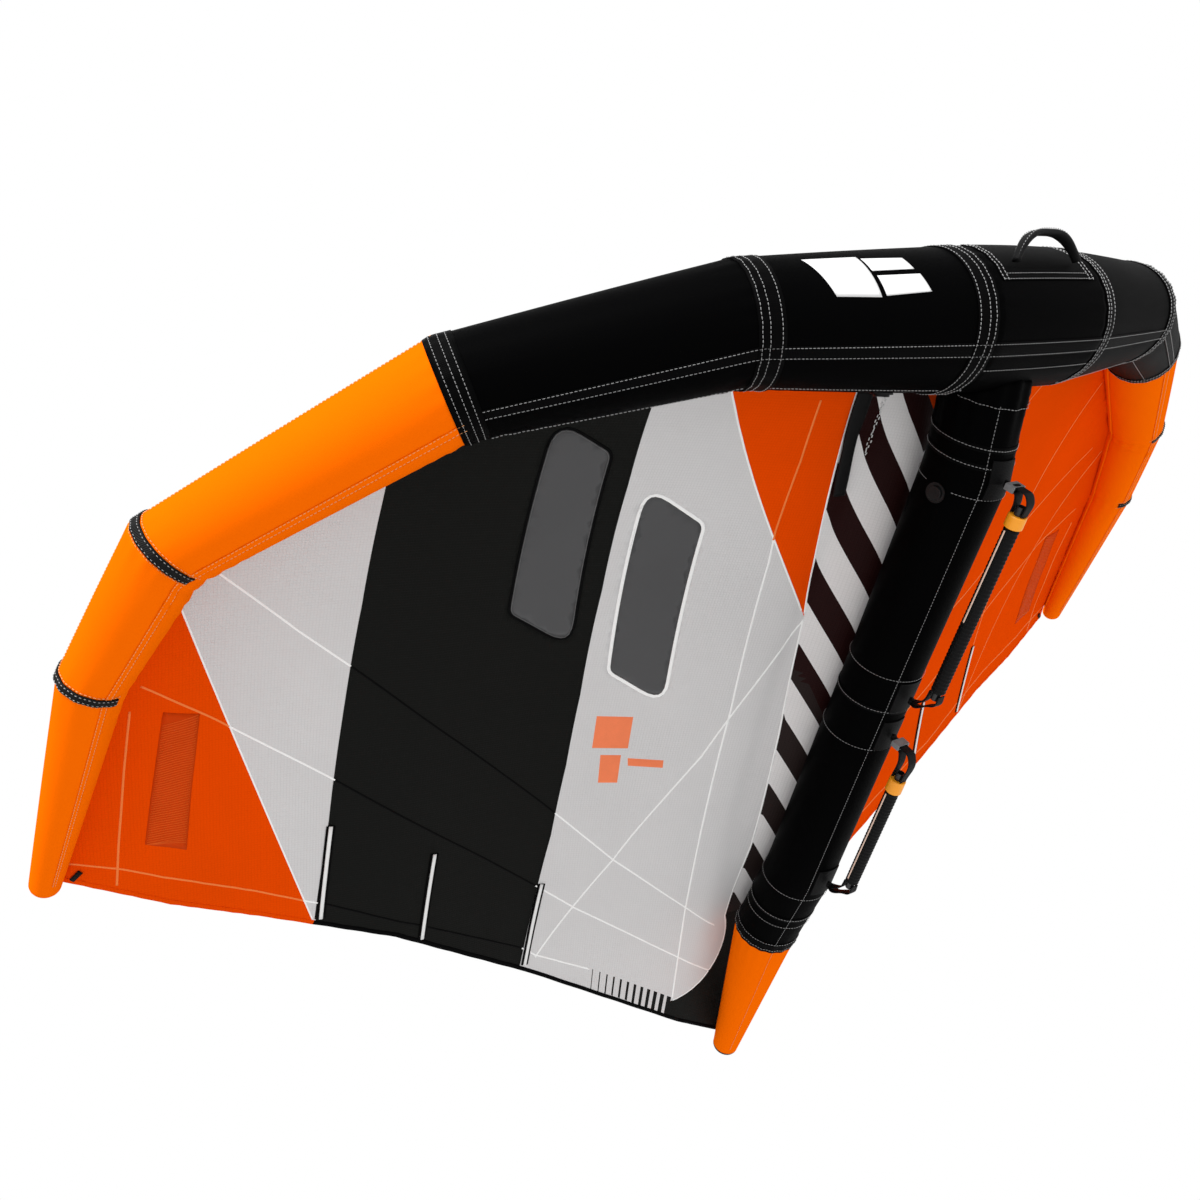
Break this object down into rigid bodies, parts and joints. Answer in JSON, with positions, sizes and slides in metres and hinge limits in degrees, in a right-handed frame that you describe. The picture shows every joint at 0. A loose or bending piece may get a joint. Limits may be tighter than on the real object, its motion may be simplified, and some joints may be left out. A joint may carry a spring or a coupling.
{
  "type": "inflatable hand-held wing",
  "caption": "Hand-held inflatable wing: a bent leading edge tube, a centre strut with two grips under it, and a cloth canopy with clear windows.",
  "frame": {"origin": "middle of the front grip under the strut, where the rider's hand holds the wing", "axes": "+X along the span, +Y from the leading edge to the trailing edge along the strut, +Z from the grips up through the canopy"},
  "size_m": [3.218, 2.2663, 0.677],
  "materials": {
    "tube_black": "satin woven polyester",
    "tube_orange": "satin woven polyester",
    "webbing_black": "matte webbing",
    "cloth_orange": "ripstop",
    "cloth_grey": "ripstop",
    "cloth_black": "ripstop",
    "window_film": "clear film over a dark ground",
    "batten_white": "moulded",
    "bladder_film": "clear film",
    "grip_foam": "matte foam",
    "ring_orange": "matte",
    "core_black": "pultruded",
    "fitting_grey": "moulded",
    "valve_black": "moulded"
  },
  "bodies": {
    "wing": {"batten_pockets": "cloth_black", "battens": "batten_white", "dark_panel_left": "cloth_black", "dark_panel_right": "cloth_orange", "handle_patches": "webbing_black", "inner_panel_left": "cloth_grey", "inner_panel_right": "cloth_orange", "le_bladder": "bladder_film", "le_centre_casing": "tube_black", "le_handle_patch": "webbing_black", "le_inner_casing_left": "tube_black", "le_inner_casing_right": "tube_black", "le_middle_casing_left": "tube_black", "le_middle_casing_right": "tube_black", "le_outer_casing_left": "tube_orange", "le_outer_casing_right": "tube_orange", "le_seam_bands": "webbing_black", "le_shoulder_casing_left": "tube_orange", "le_shoulder_casing_right": "tube_orange", "le_tip_casing_left": "tube_orange", "le_tip_casing_right": "tube_orange", "le_valve_body": "valve_black", "le_wear_straps": "webbing_black", "outer_panel_left": "cloth_grey", "outer_panel_right": "cloth_orange", "root_panel_left": "cloth_black", "root_panel_right": "cloth_orange", "root_sleeves": "webbing_black", "strut_bladder": "bladder_film", "strut_casing": "tube_black", "strut_valve_body": "valve_black", "tail_cap": "webbing_black", "tail_casing": "tube_orange", "tip_panel_left": "cloth_orange", "tip_panel_right": "cloth_orange", "tip_webbing": "webbing_black", "trailing_edge_tape": "cloth_black", "wedge_panel_left": "cloth_orange", "wedge_panel_right": "cloth_orange", "windows": "window_film"},
    "le_handle": {"le_handle_loop": "webbing_black"},
    "front_handle": {"front_grip": "grip_foam", "front_grip_ring": "ring_orange", "front_grip_core": "core_black", "front_grip_front_strap": "webbing_black", "front_grip_fitting": "fitting_grey", "front_grip_rear_strap": "webbing_black"},
    "rear_handle": {"rear_grip": "grip_foam", "rear_grip_ring": "ring_orange", "rear_grip_core": "core_black", "rear_grip_front_strap": "webbing_black", "rear_grip_fitting": "fitting_grey", "rear_grip_rear_strap": "webbing_black"},
    "le_cap": {"le_valve_cap": "valve_black"},
    "le_poppet": {"le_valve_poppet": "valve_black"},
    "strut_cap": {"strut_valve_cap": "valve_black"},
    "strut_poppet": {"strut_valve_poppet": "valve_black"}
  },
  "joints": [
    {"name": "le_handle_fold", "type": "hinge", "parent": "wing", "child": "le_handle", "pos_m": [0, -0.64731, 0.14996], "axis": [1, 0, 0], "range_deg": [-38, 110], "stiffness_Nm_per_rad": 0.4},
    {"name": "front_handle_swing", "type": "hinge", "parent": "wing", "child": "front_handle", "pos_m": [0, 0, 0.047], "axis": [0, 1, 0], "range_deg": [-40, 40]},
    {"name": "rear_handle_swing", "type": "hinge", "parent": "wing", "child": "rear_handle", "pos_m": [0, 0.589, 0.05], "axis": [0, 1, 0], "range_deg": [-40, 40]},
    {"name": "le_cap_pull", "type": "slide", "parent": "wing", "child": "le_cap", "axis": [-0.0505, 0.9421, -0.3316], "range_m": [0, 0.012]},
    {"name": "le_poppet_press", "type": "slide", "parent": "wing", "child": "le_poppet", "axis": [0.0505, -0.9421, 0.3316], "range_m": [0, 0.004], "stiffness_N_per_m": 250, "springref_m": -0.002},
    {"name": "strut_cap_pull", "type": "slide", "parent": "wing", "child": "strut_cap", "axis": [-0.9903, 0, -0.1392], "range_m": [0, 0.012]},
    {"name": "strut_poppet_press", "type": "slide", "parent": "wing", "child": "strut_poppet", "axis": [0.9903, 0, 0.1392], "range_m": [0, 0.004], "stiffness_N_per_m": 250, "springref_m": -0.002}
  ]
}
